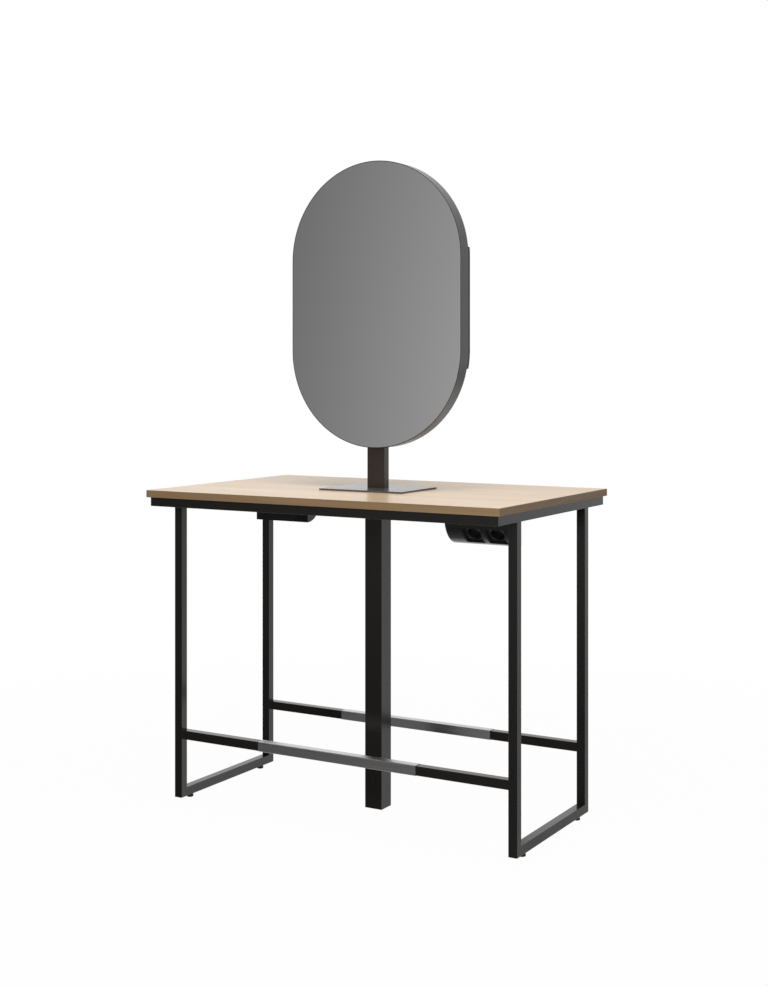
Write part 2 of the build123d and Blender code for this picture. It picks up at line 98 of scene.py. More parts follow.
# Profile of a turned foot pad, in shares of its radius and height: sole, ribbed body and shoulder
PAD_SOLE = ((0.55, 0.0), (0.88, 0.0), (0.93, 0.03))
PAD_BODY = (0.09, 0.52)
PAD_SHOULDER = ((0.945, 0.60), (0.89, 0.90), (0.86, 0.98), (0.82, 1.0), (0.45, 1.0))
PAD_STEPS = 64

# Grip ribs: their height and the height of their middle, in shares of the pad's height
RIB_HEIGHT = 0.42
RIB_MIDDLE = 0.31
RIB_SIDES = 8

# Foot studs: the turns left plain at the ends, and the fineness of the thread
PLAIN_TURNS = 3.0
STUD_STEPS = 32
THREAD_STEPS = 24
THREAD_SIDES = 4

# Screws of the top: the head's crown and the length of its recess in head radii, and places in spacings
HEAD_CROWN = 0.8
RECESS_LENGTH = 1.1
HEAD_SIDES = 32
SHANK_SIDES = 16
LONG_RAIL_STEPS = (-1.5, -0.5, 0.5, 1.5)
SIDE_RAIL_STEPS = (-0.5, 0.5)

# Floor: its size, and how far from the middle it turns plain white
FLOOR_RADIUS = 40.0
FLOOR_SEGMENTS = 96
SHADOW_FADE = (1.0, 3.0)

# The room as gloss sees it, by direction: an axis, a span on it, and the levels at the span's two ends
DIM_TO_FRONT = (-0.66, -0.36)
ROOM = {
    "rear": ("Y", (-0.55, 0.10), (0.0, 1.0)),
    "ceiling": ("Z", (-0.05, 0.30), (1.0, 0.70)),
    "steep": ("Z", (-0.78, -0.45), (1.0, 0.0)),
    "clear of the rear": ("Y", (0.10, 0.32), (1.0, 0.0)),
    "under the horizon": ("Z", (-0.25, -0.05), (1.0, 0.0)),
    "over the near floor": ("Z", (-0.36, -0.31), (0.0, 1.0)),
    "dip begins": ("X", (0.34, 0.38), (0.0, 0.78)),
    "dip ends": ("X", (0.42, 0.51), (0.0, 1.28)),
    "left glow": ("X", (-0.62, -0.42), (1.2, 1.0)),
    "right fall": ("X", (0.10, 0.40), (1.0, 0.81)),
    "dark skirting": ("Z", (-0.42, -0.30), (0.0, 0.88)),
    "top of the skirting": ("Z", (-0.25, -0.08), (1.0, 0.0)),
}


def colour(name, description, default):
    """A colour that a user may change."""
    return FloatVectorProperty(name=name, description=description, subtype="COLOR", size=3,
                               min=0.0, max=1.0, default=default)


def length(name, description, default):
    """A size in metres that a user may change."""
    return FloatProperty(name=name, description=description, unit="LENGTH", min=0.0,
                         precision=5, default=default)


def position(name, description, default):
    """A place in metres that a user may change."""
    return FloatVectorProperty(name=name, description=description, subtype="TRANSLATION", unit="LENGTH",
                               size=3, default=default)


def power(name, description, default):
    """A lamp's power in watts that a user may change."""
    return FloatProperty(name=name, description=description, unit="POWER", min=0.0, default=default)


def share(name, description, default):
    """A plain number from nothing to one that a user may change."""
    return FloatProperty(name=name, description=description, subtype="FACTOR", min=0.0, max=1.0,
                         default=default)


class StationFinishes(bpy.types.PropertyGroup):
    """Colours of the station's finishes."""

    oak_light: colour("Oak, light", "Pale wood between the grain lines", (0.80, 0.60, 0.405))
    oak_dark: colour("Oak, dark", "Grain lines and pores of the top", (0.61, 0.425, 0.26))
    # The edge bands' oak is far darker than the top's oak: shade on the upright edges is painted into
    # these two colours
    edge_shaded_light: colour("Edge band, light", "Pale wood of the edge bands, darkened with painted shade", (0.300, 0.199, 0.108))
    edge_shaded_dark: colour("Edge band, dark", "Grain lines of the edge bands, darkened with painted shade", (0.185, 0.111, 0.055))
    powder_black: colour("Powder coat", "Black powder coat of the tube frame", (0.0115, 0.0102, 0.009))
    steel: colour("Brushed steel", "Sleeves over the footrest bars", (0.51, 0.51, 0.513))
    mirror: colour("Mirror", "Silvered glass of both mirrors", (0.70, 0.70, 0.705))
    graphite: colour("Graphite", "Band around the mirror", (0.020, 0.019, 0.0175))
    # The upright's near black coat, made lighter and warmer by a painted reflection of the oak top
    upright_black_painted_reflection: colour("Bronze black", "Mirror upright", (0.031, 0.021, 0.0145))
    plate_dark: colour("Plate dark", "Base plate under the upright", (0.085, 0.078, 0.072))
    trim_black: colour("Trim black", "Strips behind the mirror's edge", (0.008, 0.008, 0.008))
    housing_black: colour("Housing black", "Moulded socket housings", (0.007, 0.0072, 0.0075))
    # Black plastic of the inserts, made a little lighter than the housings' to paint light into their
    # shaded wells
    socket_black: colour("Socket black", "Socket inserts and carriers", (0.020, 0.020, 0.0205))
    foot_black: colour("Foot black", "Moulded levelling feet", (0.012, 0.012, 0.012))
    brass: colour("Brass", "Contacts and earth clips of the sockets", (0.24, 0.18, 0.095))
    zinc: colour("Zinc", "Screws, nuts and foot studs", (0.55, 0.55, 0.54))
    board: colour("Fibreboard", "Core and backing boards of the mirror", (0.45, 0.36, 0.25))


class StationFittings(bpy.types.PropertyGroup):
    """Sizes of the small repeated fittings."""

    rib_count: IntProperty(name="Foot ribs", description="Grip ribs around a foot pad", min=8, default=30)
    rib_depth: length("Rib depth", "How far a grip rib stands out of the pad", 0.0004)
    thread_pitch: length("Thread pitch", "Rise of the stud's thread in one turn", 0.00125)
    thread_depth: length("Thread depth", "Depth of the stud's thread", 0.00065)
    head_radius: length("Head radius", "Radius of a screw's pan head", 0.004)
    head_height: length("Head height", "Height of a screw's pan head", 0.0025)
    shank_radius: length("Shank radius", "Radius of a screw's shank", 0.002)
    screw_spacing: length("Screw spacing", "Between the screws of a long rail", 0.3)
    side_screw_spacing: length("Side spacing", "Between the screws of a side rail", 0.2)
    recess_width: length("Recess width", "Width of a screw's cross recess", 0.0009)
    recess_depth: length("Recess depth", "Depth of a screw's cross recess", 0.0014)


class StationStage(bpy.types.PropertyGroup):
    """Camera, light and floor of the studio."""

    camera_place: position("Camera", "Where the camera stands", (2.14785, -3.64967, 1.24308))
    camera_turn: FloatProperty(name="Camera turn", subtype="ANGLE", default=radians(30.25),
                               description="Turn of the level camera about the upright")
    lamp_target: position("Lamp target", "What both softboxes face", (0.0, 0.0, 0.9))
    top_place: position("Overhead place", "Where the softbox over the station hangs", (0.65, -1.0, 4.15))
    top_width: length("Overhead width", "Width of the softbox over the station", 1.9)
    top_power: power("Overhead power", "Power of the softbox over the station", 81.0)
    key_place: position("Key place", "Where the softbox at the front right stands", (1.1, -3.9, 2.1))
    key_width: length("Key width", "Width of the softbox at the front right", 1.7)
    key_power: power("Key power", "Power of the softbox at the front right", 79.0)
    ambient: share("Ambient", "Level of the room's soft light", 0.16)
    dim_side: share("Dim side", "What gloss shows of the room at the front left", 0.13)
    front_side: share("Front side", "What gloss shows of the room straight ahead of the front", 0.54)
    under_side: share("Under side", "What gloss shows of the shaded floor under the station", 0.46)
    floor_drop: length("Floor drop", "Floor below the pads, so that a foot can be screwed out", 0.0125)
    floor_grey: colour("Floor grey", "Matt paint that takes the shadow", (0.6, 0.6, 0.6))
    floor_white: share("White floor", "Share of plain white in the floor as the camera sees it", 0.98)


class Wire:
    """An output of a node that takes part in arithmetic: each operation adds a Math node."""

    def __init__(self, tree, socket):
        self.tree = tree
        self.socket = socket

    def maths(self, operation, first, second):
        return self.tree.node("ShaderNodeMath", {"operation": operation}, {0: first, 1: second})

    def __add__(self, other):
        return self.maths("ADD", self, other)

    def __sub__(self, other):
        return self.maths("SUBTRACT", self, other)

    def __rsub__(self, other):
        return self.maths("SUBTRACT", other, self)

    def __mul__(self, other):
        return self.maths("MULTIPLY", self, other)

    def __gt__(self, limit):
        return self.maths("GREATER_THAN", self, limit)

    __radd__ = __add__
    __rmul__ = __mul__


class Tree:
    """A node tree that is filled one node at a time."""

    def __init__(self, tree):
        self.tree = tree

    def node(self, kind, settings=None, inputs=None, output=0):
        """Add a node: its settings first, then the values or links of its sockets."""
        made = self.tree.nodes.new(kind)
        for name, value in (settings or {}).items():
            setattr(made, name, value)
        for key, value in (inputs or {}).items():
            if isinstance(value, Wire):
                self.tree.links.new(value.socket, made.inputs[key])
            elif isinstance(value, list):
                for wire in value:
                    self.tree.links.new(wire.socket, made.inputs[key])
            else:
                made.inputs[key].default_value = value
        return Wire(self, made.outputs[output]) if len(made.outputs) else None

    def eased(self, value, span, levels=(0.0, 1.0)):
        """A value that goes smoothly from one level to another over a span."""
        return self.node("ShaderNodeMapRange", {"interpolation_type": "SMOOTHSTEP"},
                         {"Value": value, "From Min": span[0], "From Max": span[1],
                          "To Min": levels[0], "To Max": levels[1]})


class Finish(Tree):
    """A material whose pattern lies on Object coordinates."""

    def __init__(self, name):
        self.material = bpy.data.materials.new(name)
        self.material.use_nodes = True
        super().__init__(self.material.node_tree)
        self.tree.nodes.clear()
        self.place = self.node("ShaderNodeTexCoord", output="Object")

    def noise(self, scale, detail=2.0, place=None, distortion=0.0):
        """A soft noise from nothing to one, with its own fineness along each axis."""
        stretched = self.node("ShaderNodeMapping", {"vector_type": "POINT"},
                              {"Vector": place or self.place, "Scale": scale})
        return self.node("ShaderNodeTexNoise", {"noise_dimensions": "3D"},
                         {"Vector": stretched, "Scale": 1.0, "Detail": detail,
                          "Distortion": distortion}, "Fac")

    def axis(self, name, place=None):
        """One coordinate."""
        return self.node("ShaderNodeSeparateXYZ", inputs={0: place or self.place}, output=name)

    def swung(self, middle, *swings):
        """A value that swings about its middle with patterns, each by its own reach."""
        for pattern, reach in swings:
            middle = middle + (pattern - 0.5) * reach
        return middle

    def blend(self, factor, first, second):
        """A mix of two colours."""
        colours = {"data_type": "RGBA", "clamp_factor": True}
        return self.node("ShaderNodeMix", colours, {0: factor, 6: rgba(first), 7: rgba(second)}, 2)

    def mottled(self, base, pattern, darker, lighter):
        """A colour that a pattern varies from a darker to a lighter shade."""
        return self.blend(pattern, shade(base, darker), shade(base, lighter))

    def bump(self, height, strength, distance):
        """A normal raised by a height."""
        return self.node("ShaderNodeBump", inputs={"Height": height, "Strength": strength,
                                                   "Distance": distance})

    def surface(self, inputs):
        """End the tree in one Principled surface, and give back the material."""
        shader = self.node("ShaderNodeBsdfPrincipled", inputs=inputs)
        self.node("ShaderNodeOutputMaterial", inputs={"Surface": shader})
        return self.material


def rgba(value):
    """A colour with its alpha."""
    return (*value, 1.0)


def shade(value, factor):
    """A colour made lighter or darker."""
    return tuple(channel * factor for channel in value)


def oak_finish(name, light, dark, roughness, side_from=NO_SIDE_BANDS):
    """Laminate with oak boards along X, and along Y past side_from, where the side bands are."""
    finish = Finish(name)
    across = finish.node("ShaderNodeMath", {"operation": "ABSOLUTE"}, {0: finish.axis("X")}) > side_from
    turned = finish.node("ShaderNodeMapping", inputs={"Vector": finish.place, "Rotation": QUARTER_TURN})
    grain = finish.node("ShaderNodeMix", {"data_type": "VECTOR"},
                        {0: across, 4: finish.place, 5: turned}, 1)
    board = finish.node("ShaderNodeMath", {"operation": "FLOOR"},
                        {0: (finish.axis("Y", grain) + BOARD_JOINT) * (1 / BOARD_WIDTH)})
    tone = finish.node("ShaderNodeTexWhiteNoise", {"noise_dimensions": "1D"}, {"W": board}, "Value")
    shift = finish.node("ShaderNodeCombineXYZ", inputs={"X": tone * GRAIN_SHIFT_ALONG,
                                                        "Y": tone * GRAIN_SHIFT_ACROSS, "Z": tone})
    own = finish.node("ShaderNodeVectorMath", {"operation": "ADD"}, {0: grain, 1: shift})
    figure = finish.noise(scale=(1.1, 19.0, 19.0), detail=4.0, place=own, distortion=0.6)
    streaks = finish.noise(scale=(3.0, 120.0, 120.0), detail=3.0, place=own)
    dots = finish.noise(scale=(22.0, 900.0, 900.0), detail=2.0, place=own)
    pores = finish.eased(dots, span=(0.56, 0.70))
    fleck = finish.noise(scale=(5.0, 14.0, 14.0), detail=1.0, place=own)
    figured = finish.eased(figure, span=(0.30, 0.72)) * FIGURE_DEPTH
    streaked = finish.eased(streaks, NOISE_SPAN) * STREAK_DEPTH
    toned = (tone - 0.5) * TONE_DEPTH
    pored = pores * (fleck * PORE_DEPTH)
    wood = finish.blend(figured + streaked + toned + pored, light, dark)
    rough = finish.swung(roughness, (streaks, 0.08)) + pores * PORE_ROUGHNESS
    relief = finish.bump(0.0 - pores - streaks * STREAK_HOLLOW, strength=0.12, distance=0.0003)
    return finish.surface({"Base Color": wood, "Roughness": rough, "Normal": relief,
                           "Specular IOR Level": OAK_SPECULAR})


def powder_finish(name, base, roughness, specular):
    """Powder coat: a fine orange peel, with slightly uneven gloss."""
    finish = Finish(name)
    peel = finish.noise(scale=(820.0, 820.0, 820.0), detail=1.5)
    cloud = finish.noise(scale=(7.0, 7.0, 5.0), detail=3.0)
    coat = finish.mottled(base, peel * 0.6 + cloud * 0.4, darker=0.8, lighter=1.25)
    rough = finish.swung(roughness, (cloud, 0.10), (peel, 0.05))
    return finish.surface({"Base Color": coat, "Roughness": rough, "Specular IOR Level": specular,
                           "Normal": finish.bump(peel, strength=0.10, distance=0.0002)})


def brushed_finish(name, base):
    """Steel brushed along X."""
    finish = Finish(name)
    fine = finish.noise(scale=(9.0, 1600.0, 1600.0), detail=2.0)
    broad = finish.noise(scale=(2.5, 260.0, 260.0), detail=2.0)
    lines = fine * 0.65 + broad * 0.35
    metal = finish.mottled(base, finish.eased(lines, NOISE_SPAN), darker=0.93, lighter=1.06)
    rough = finish.eased(lines, span=(0.25, 0.75), levels=(0.25, 0.33))
    return finish.surface({"Base Color": metal, "Metallic": 1.0, "Roughness": rough,
                           "Normal": finish.bump(lines, strength=0.05, distance=0.00005)})


def mirror_finish(name, base):
    """Silvered glass, with a breath of haze."""
    finish = Finish(name)
    haze = finish.noise(scale=(3.0, 3.0, 2.2), detail=4.0, distortion=0.5)
    silver = finish.mottled(base, haze, darker=0.985, lighter=1.0)
    rough = finish.eased(haze, span=(0.35, 0.75), levels=(0.02, 0.045))
    return finish.surface({"Base Color": silver, "Metallic": 1.0, "Roughness": rough})


def satin_finish(name, base, roughness, specular):
    """Satin lacquer or foil with a faint mottle."""
    finish = Finish(name)
    mottle = finish.noise(scale=(500.0, 500.0, 500.0), detail=2.0)
    cloud = finish.noise(scale=(9.0, 9.0, 6.0), detail=3.0)
    lacquer = finish.mottled(base, mottle * 0.5 + cloud * 0.5, darker=0.88, lighter=1.12)
    rough = finish.swung(roughness, (cloud, 0.12))
    return finish.surface({"Base Color": lacquer, "Roughness": rough, "Specular IOR Level": specular,
                           "Normal": finish.bump(mottle, strength=0.05, distance=0.0001)})


def moulded_finish(name, base, roughness):
    """Moulded plastic with a fine spark-eroded texture."""
    finish = Finish(name)
    spark = finish.noise(scale=(1500.0, 1500.0, 1500.0), detail=2.0)
    cloud = finish.noise(scale=(24.0, 24.0, 24.0), detail=2.0)
    plastic = finish.mottled(base, spark, darker=0.85, lighter=1.2)
    rough = finish.swung(roughness, (cloud, 0.08), (spark, 0.06))
    return finish.surface({"Base Color": plastic, "Roughness": rough,
                           "Specular IOR Level": MOULDED_SPECULAR,
                           "Normal": finish.bump(spark, strength=0.08, distance=0.0001)})


def plated_finish(name, base, roughness):
    """Plated or bare metal of small parts, a little clouded."""
    finish = Finish(name)
    cloud = finish.noise(scale=(140.0, 140.0, 140.0), detail=3.0)
    metal = finish.mottled(base, cloud, darker=0.8, lighter=1.0)
    rough = finish.eased(cloud, NOISE_SPAN, levels=(roughness, roughness + 0.15))
    return finish.surface({"Base Color": metal, "Metallic": 1.0, "Roughness": rough})


def board_finish(name, base):
    """Raw fibreboard."""
    finish = Finish(name)
    fibre = finish.noise(scale=(260.0, 260.0, 260.0), detail=4.0)
    pulp = finish.mottled(base, finish.eased(fibre, NOISE_SPAN), darker=0.75, lighter=1.1)
    return finish.surface({"Base Color": pulp, "Roughness": 0.7 + fibre * 0.2,
                           "Normal": finish.bump(fibre, strength=0.2, distance=0.0003)})


def dress(material, *names):
    """Give CAD nodes a material."""
    for name in names:
        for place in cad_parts[name].material_slots:
            place.material = material


def nodes_ending(*endings):
    """Names of the CAD nodes that end in one of these words."""
    return [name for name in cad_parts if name.endswith(endings)]


def new_piece(name, mesh):
    """An object at the origin that holds a mesh."""
    piece = bpy.data.objects.new(name, mesh)
    bpy.context.scene.collection.objects.link(piece)
    return piece


def turned_mesh(name, centre, profile, steps):
    """A closed mesh turned about an upright axis from a profile of radii and heights."""
    shape = bmesh.new()
    rings = []
    for radius, height in profile:
        ring = []
        for step in range(steps):
            angle = 2 * pi * step / steps
            place = (centre.x + radius * cos(angle), centre.y + radius * sin(angle), height)
            ring.append(shape.verts.new(place))
        rings.append(ring)
    for low, high in zip(rings, rings[1:]):
        for step in range(steps):
            after = (step + 1) % steps
            shape.faces.new((low[step], low[after], high[after], high[step]))
    shape.faces.new(list(reversed(rings[0])))
    shape.faces.new(rings[-1])
    for face in shape.faces:
        face.smooth = len(face.verts) == 4
    mesh = bpy.data.meshes.new(name)
    shape.to_mesh(mesh)
    shape.free()
    return mesh


class Growth(Tree):
    """A Geometry Nodes tree with named inputs, run once on a piece and then baked into its mesh."""

    def __init__(self, name, sizes):
        group = bpy.data.node_groups.new(name, "GeometryNodeTree")
        super().__init__(group)
        self.identifiers = {}
        sockets = {"Geometry": "NodeSocketGeometry", "Material": "NodeSocketMaterial", **sizes}
        for label, kind in sockets.items():
            socket = group.interface.new_socket(name=label, in_out="INPUT", socket_type=kind)
            self.identifiers[label] = socket.identifier
        group.interface.new_socket(name="Geometry", in_out="OUTPUT", socket_type="NodeSocketGeometry")
        self.given = group.nodes.new("NodeGroupInput")

    def input(self, label):
        """One of the named inputs."""
        return Wire(self, self.given.outputs[label])

    def vector(self, x=0.0, y=0.0, z=0.0):
        """Three values as one vector."""
        return self.node("ShaderNodeCombineXYZ", inputs={"X": x, "Y": y, "Z": z})

    def moved(self, shape, **change):
        """Geometry that is shifted or turned."""
        inputs = {key.capitalize(): value for key, value in change.items()}
        return self.node("GeometryNodeTransform", inputs={"Geometry": shape, **inputs})

    def joined(self, *shapes):
        """Several pieces of geometry as one."""
        return self.node("GeometryNodeJoinGeometry", inputs={"Geometry": list(shapes)})

    def end(self, shape):
        """Realize what was instanced, set the material and end the tree."""
        real = self.node("GeometryNodeRealizeInstances", inputs={"Geometry": shape})
        done = self.node("GeometryNodeSetMaterial", inputs={"Geometry": real,
                                                            "Material": self.input("Material")})
        self.node("NodeGroupOutput", inputs={"Geometry": done})

    def grow(self, piece, values):
        """Run the tree on a piece and keep the result as its plain mesh."""
        modifier = piece.modifiers.new(self.tree.name, "NODES")
        modifier.node_group = self.tree
        for label, value in values.items():
            modifier[self.identifiers[label]] = value
        evaluated = piece.evaluated_get(bpy.context.evaluated_depsgraph_get())
        mesh = bpy.data.meshes.new_from_object(evaluated)
        piece.modifiers.remove(modifier)
        piece.data = mesh


def grip_ribs():
    """Upright ribs in a ring around a pad."""
    tree = Growth("Grip ribs", {"Count": "NodeSocketInt", "Ring Radius": "NodeSocketFloat",
                                "Rib Radius": "NodeSocketFloat", "Rib Height": "NodeSocketFloat",
                                "Centre": "NodeSocketVector"})
    ring = tree.node("GeometryNodeMeshCircle", inputs={"Vertices": tree.input("Count"),
                                                       "Radius": tree.input("Ring Radius")})
    rib = tree.node("GeometryNodeMeshCylinder", inputs={"Vertices": RIB_SIDES,
                                                        "Radius": tree.input("Rib Radius"),
                                                        "Depth": tree.input("Rib Height")})
    ribs = tree.node("GeometryNodeInstanceOnPoints", inputs={"Points": ring, "Instance": rib})
    placed = tree.moved(ribs, translation=tree.input("Centre"))
    tree.end(tree.joined(tree.input("Geometry"), placed))
    return tree


def screw_thread():
    """A ridge that winds up a rod."""
    tree = Growth("Screw thread", {"Pitch": "NodeSocketFloat", "Turns": "NodeSocketFloat",
                                   "Radius": "NodeSocketFloat", "Depth": "NodeSocketFloat",
                                   "Start": "NodeSocketVector"})
    radius = tree.input("Radius")
    turns = tree.input("Turns")
    winding = tree.node("GeometryNodeCurveSpiral", inputs={
        "Resolution": THREAD_STEPS, "Rotations": turns, "Start Radius": radius, "End Radius": radius,
        "Height": tree.input("Pitch") * turns})
    upright = tree.node("GeometryNodeSetCurveNormal", {"mode": "Z_UP"}, {"Curve": winding})
    crest = tree.node("GeometryNodeCurvePrimitiveCircle", inputs={"Resolution": THREAD_SIDES,
                                                                  "Radius": tree.input("Depth")})
    ridge = tree.node("GeometryNodeCurveToMesh", inputs={"Curve": upright, "Profile Curve": crest,
                                                         "Fill Caps": True})
    placed = tree.moved(ridge, translation=tree.input("Start"))
    tree.end(tree.joined(tree.input("Geometry"), placed))
    return tree


def cross_screws():
    """A pan head screw with a cross recess under each point, its shank upwards."""
    tree = Growth("Cross screws", {"Head Radius": "NodeSocketFloat", "Head Height": "NodeSocketFloat",
                                   "Shank Radius": "NodeSocketFloat", "Shank Length": "NodeSocketFloat",
                                   "Recess Width": "NodeSocketFloat", "Recess Depth": "NodeSocketFloat"})
    height = tree.input("Head Height")
    radius = tree.input("Head Radius")
    crowned = tree.node("GeometryNodeMeshCone", inputs={"Vertices": HEAD_SIDES, "Radius Top": radius,
                                                        "Radius Bottom": radius * HEAD_CROWN,
                                                        "Depth": height})
    crown = tree.vector(z=0.0 - height)
    head = tree.moved(crowned, translation=crown)
    # The recess is two bars centred on the crown, so half of each lies in the head
    bar_height = tree.input("Recess Depth") * 2.0
    recess = tree.vector(radius * RECESS_LENGTH, tree.input("Recess Width"), bar_height)
    bar = tree.node("GeometryNodeMeshCube", inputs={"Size": recess})
    bars = [tree.moved(bar, translation=crown), tree.moved(bar, translation=crown, rotation=QUARTER_TURN)]
    cut = tree.node("GeometryNodeMeshBoolean", {"operation": "DIFFERENCE", "solver": "EXACT"},
                    {"Mesh 1": head, "Mesh 2": bars})
    shank_length = tree.input("Shank Length")
    shank = tree.node("GeometryNodeMeshCylinder", inputs={"Vertices": SHANK_SIDES, "Depth": shank_length,
                                                          "Radius": tree.input("Shank Radius")})
    raised = tree.moved(shank, translation=tree.vector(z=shank_length * 0.5))
    screw = tree.joined(cut, raised)
    tree.end(tree.node("GeometryNodeInstanceOnPoints", inputs={"Points": tree.input("Geometry"),
                                                               "Instance": screw}))
    return tree


class STATION_OT_finish_top(bpy.types.Operator):
    """Oak laminate on the top and its edge bands"""

    bl_idname = "station.finish_top"
    bl_label = "Finish the top"

    def execute(self, context):
        finishes = context.scene.station_finishes
        band_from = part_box("tabletop_panel")[1].x
        laminate = oak_finish("Oak laminate", finishes.oak_light, finishes.oak_dark, roughness=0.30)
        dress(laminate, "tabletop_panel")
        # A darker copy of the top's oak, with the shade of the edges painted into its colour
        band = oak_finish("Oak edge band", finishes.edge_shaded_light, finishes.edge_shaded_dark, roughness=0.45,
                          side_from=band_from)
        dress(band, "tabletop_edge_bands")
        return {"FINISHED"}


class STATION_OT_finish_frame(bpy.types.Operator):
    """Black powder coat on the tube frame, and brushed steel on the footrest sleeves"""

    bl_idname = "station.finish_frame"
    bl_label = "Finish the frame"

    def execute(self, context):
        finishes = context.scene.station_finishes
        powder = powder_finish("Black powder coat", finishes.powder_black, roughness=0.22, specular=0.385)
        tubes = nodes_ending("_rail", "_leg", "_runner", "_bar")
        dress(powder, *tubes, "centre_post", "post_head_plate")
        dress(brushed_finish("Brushed steel", finishes.steel), *nodes_ending("_footrest_sleeve"))
        return {"FINISHED"}


class STATION_OT_finish_mirror(bpy.types.Operator):
    """Silvered glass, graphite band, boards and strips of the mirror, and its dark stand"""

    bl_idname = "station.finish_mirror"
    bl_label = "Finish the mirror"

    def execute(self, context):
        finishes = context.scene.station_finishes
        dress(mirror_finish("Silvered glass", finishes.mirror), *nodes_ending("_mirror_glass"))
        band = satin_finish("Graphite band", finishes.graphite, roughness=0.26, specular=0.63)
        dress(band, "mirror_edge_band")
        board = board_finish("Fibreboard", finishes.board)
        dress(board, "mirror_core", *nodes_ending("_mirror_backing"))
        trim = satin_finish("Trim black", finishes.trim_black, roughness=0.40, specular=0.25)
        dress(trim, "rear_edge_strips")
        # Dark coat of the upright, lightened and warmed by a painted reflection of the oak
        upright_coat = powder_finish("Bronze black", finishes.upright_black_painted_reflection, roughness=0.20, specular=0.48)
        dress(upright_coat, "mirror_upright")
        plate = satin_finish("Dark plate", finishes.plate_dark, roughness=0.22, specular=0.40)
        dress(plate, "mirror_base_plate")
        return {"FINISHED"}


class STATION_OT_finish_sockets(bpy.types.Operator):
    """Moulded housings, inserts and brass contacts of the two socket units"""

    bl_idname = "station.finish_sockets"
    bl_label = "Finish the socket units"

    def execute(self, context):
        finishes = context.scene.station_finishes
        housing = moulded_finish("Moulded housing", finishes.housing_black, roughness=0.20)
        dress(housing, *nodes_ending("_socket_cover", "_socket_back", "_socket_end_caps"))
        # Insert black, partly its own plastic and partly painted light in the shaded wells
        insert = moulded_finish("Moulded insert", finishes.socket_black, roughness=0.30)
        dress(insert, *nodes_ending("_socket_inserts", "_socket_carrier"))
        brass = plated_finish("Brass", finishes.brass, roughness=0.40)
        dress(brass, *nodes_ending("_socket_contacts"))
        return {"FINISHED"}


class STATION_OT_finish_fasteners(bpy.types.Operator):
    """Zinc plate on the fasteners that stay as they are"""

    bl_idname = "station.finish_fasteners"
    bl_label = "Finish the fasteners"

    def execute(self, context):
        finishes = context.scene.station_finishes
        zinc = plated_finish("Zinc plate", finishes.zinc, roughness=0.32)
        dress(zinc, *nodes_ending("_nuts", "_studs", "_screws"))
        return {"FINISHED"}


class STATION_OT_make_feet(bpy.types.Operator):
    """Ribbed pads and threaded studs of the four levelling feet"""

    bl_idname = "station.make_feet"
    bl_label = "Make the feet"

    def execute(self, context):
        finishes = context.scene.station_finishes
        fittings = context.scene.station_fittings
        plastic = moulded_finish("Moulded foot", finishes.foot_black, roughness=0.42)
        zinc = plated_finish("Stud zinc", finishes.zinc, roughness=0.30)
        ribs = grip_ribs()
        thread = screw_thread()
        for foot in FEET:
            self.make_pad(foot, fittings, plastic, ribs)
            self.make_stud(foot, fittings, zinc, thread)
        return {"FINISHED"}

    def make_pad(self, foot, fittings, plastic, ribs):
        """A pad turned from its profile, with ribs around its body."""
        node = foot + "_pad"
        low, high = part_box(node)
        centre = (low + high) / 2
        radius = (high.x - low.x) / 2
        height = high.z - low.z
        body = radius - fittings.rib_depth
        profile = [(radius * wide, height * tall) for wide, tall in PAD_SOLE]
        profile += [(body, height * tall) for tall in PAD_BODY]
        profile += [(radius * wide, height * tall) for wide, tall in PAD_SHOULDER]
        pad = new_piece(foot + "_ribbed_pad", turned_mesh(node, centre, profile, PAD_STEPS))
        ribs.grow(pad, {"Material": plastic, "Count": fittings.rib_count, "Ring Radius": body,
                        "Rib Radius": fittings.rib_depth, "Rib Height": height * RIB_HEIGHT,
                        "Centre": Vector((centre.x, centre.y, height * RIB_MIDDLE))})
        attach(pad, foot)
        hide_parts(node)

    def make_stud(self, foot, fittings, zinc, thread):
        """A rod with a pointed end and a thread wound up it."""
        node = foot + "_stud"
        low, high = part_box(node)
        centre = (low + high) / 2
        radius = (high.x - low.x) / 2
        depth = fittings.thread_depth
        pitch = fittings.thread_pitch
        core = radius - depth
        profile = [(core, low.z), (core, high.z - pitch), (core - depth, high.z)]
        stud = new_piece(foot + "_threaded_stud", turned_mesh(node, centre, profile, STUD_STEPS))
        turns = (high.z - low.z) / pitch - PLAIN_TURNS
        thread.grow(stud, {"Material": zinc, "Pitch": pitch, "Turns": turns, "Radius": core,
                           "Depth": depth, "Start": Vector((centre.x, centre.y, low.z + pitch))})
        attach(stud, foot)
        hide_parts(node)


class STATION_OT_make_screws(bpy.types.Operator):
    """Cross recessed screws that hold the top, seen through the holes under the rails"""

    bl_idname = "station.make_screws"
    bl_label = "Make the screws of the top"

    def execute(self, context):
        finishes = context.scene.station_finishes
        fittings = context.scene.station_fittings
        screw_low, screw_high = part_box("tabletop_screws")
        seat = screw_low.z + fittings.head_height
        places = []
        for rail in ("front_apron_rail", "rear_apron_rail"):
            low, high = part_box(rail)
            middle = (low + high) / 2
            places += [(step * fittings.screw_spacing, middle.y, seat) for step in LONG_RAIL_STEPS]
        for rail in ("left_apron_rail", "right_apron_rail"):
            low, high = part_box(rail)
            middle = (low + high) / 2
            places += [(middle.x, step * fittings.side_screw_spacing, seat) for step in SIDE_RAIL_STEPS]
        mesh = bpy.data.meshes.new("tabletop_screw_places")
        mesh.from_pydata(places, [], [])
        screws = new_piece("tabletop_cross_screws", mesh)
        zinc = plated_finish("Screw zinc", finishes.zinc, roughness=0.28)
        cross_screws().grow(screws, {
            "Material": zinc, "Head Radius": fittings.head_radius, "Head Height": fittings.head_height,
            "Shank Radius": fittings.shank_radius, "Shank Length": screw_high.z - seat,
            "Recess Width": fittings.recess_width, "Recess Depth": fittings.recess_depth})
        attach(screws, "frame")
        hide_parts("tabletop_screws")
        return {"FINISHED"}


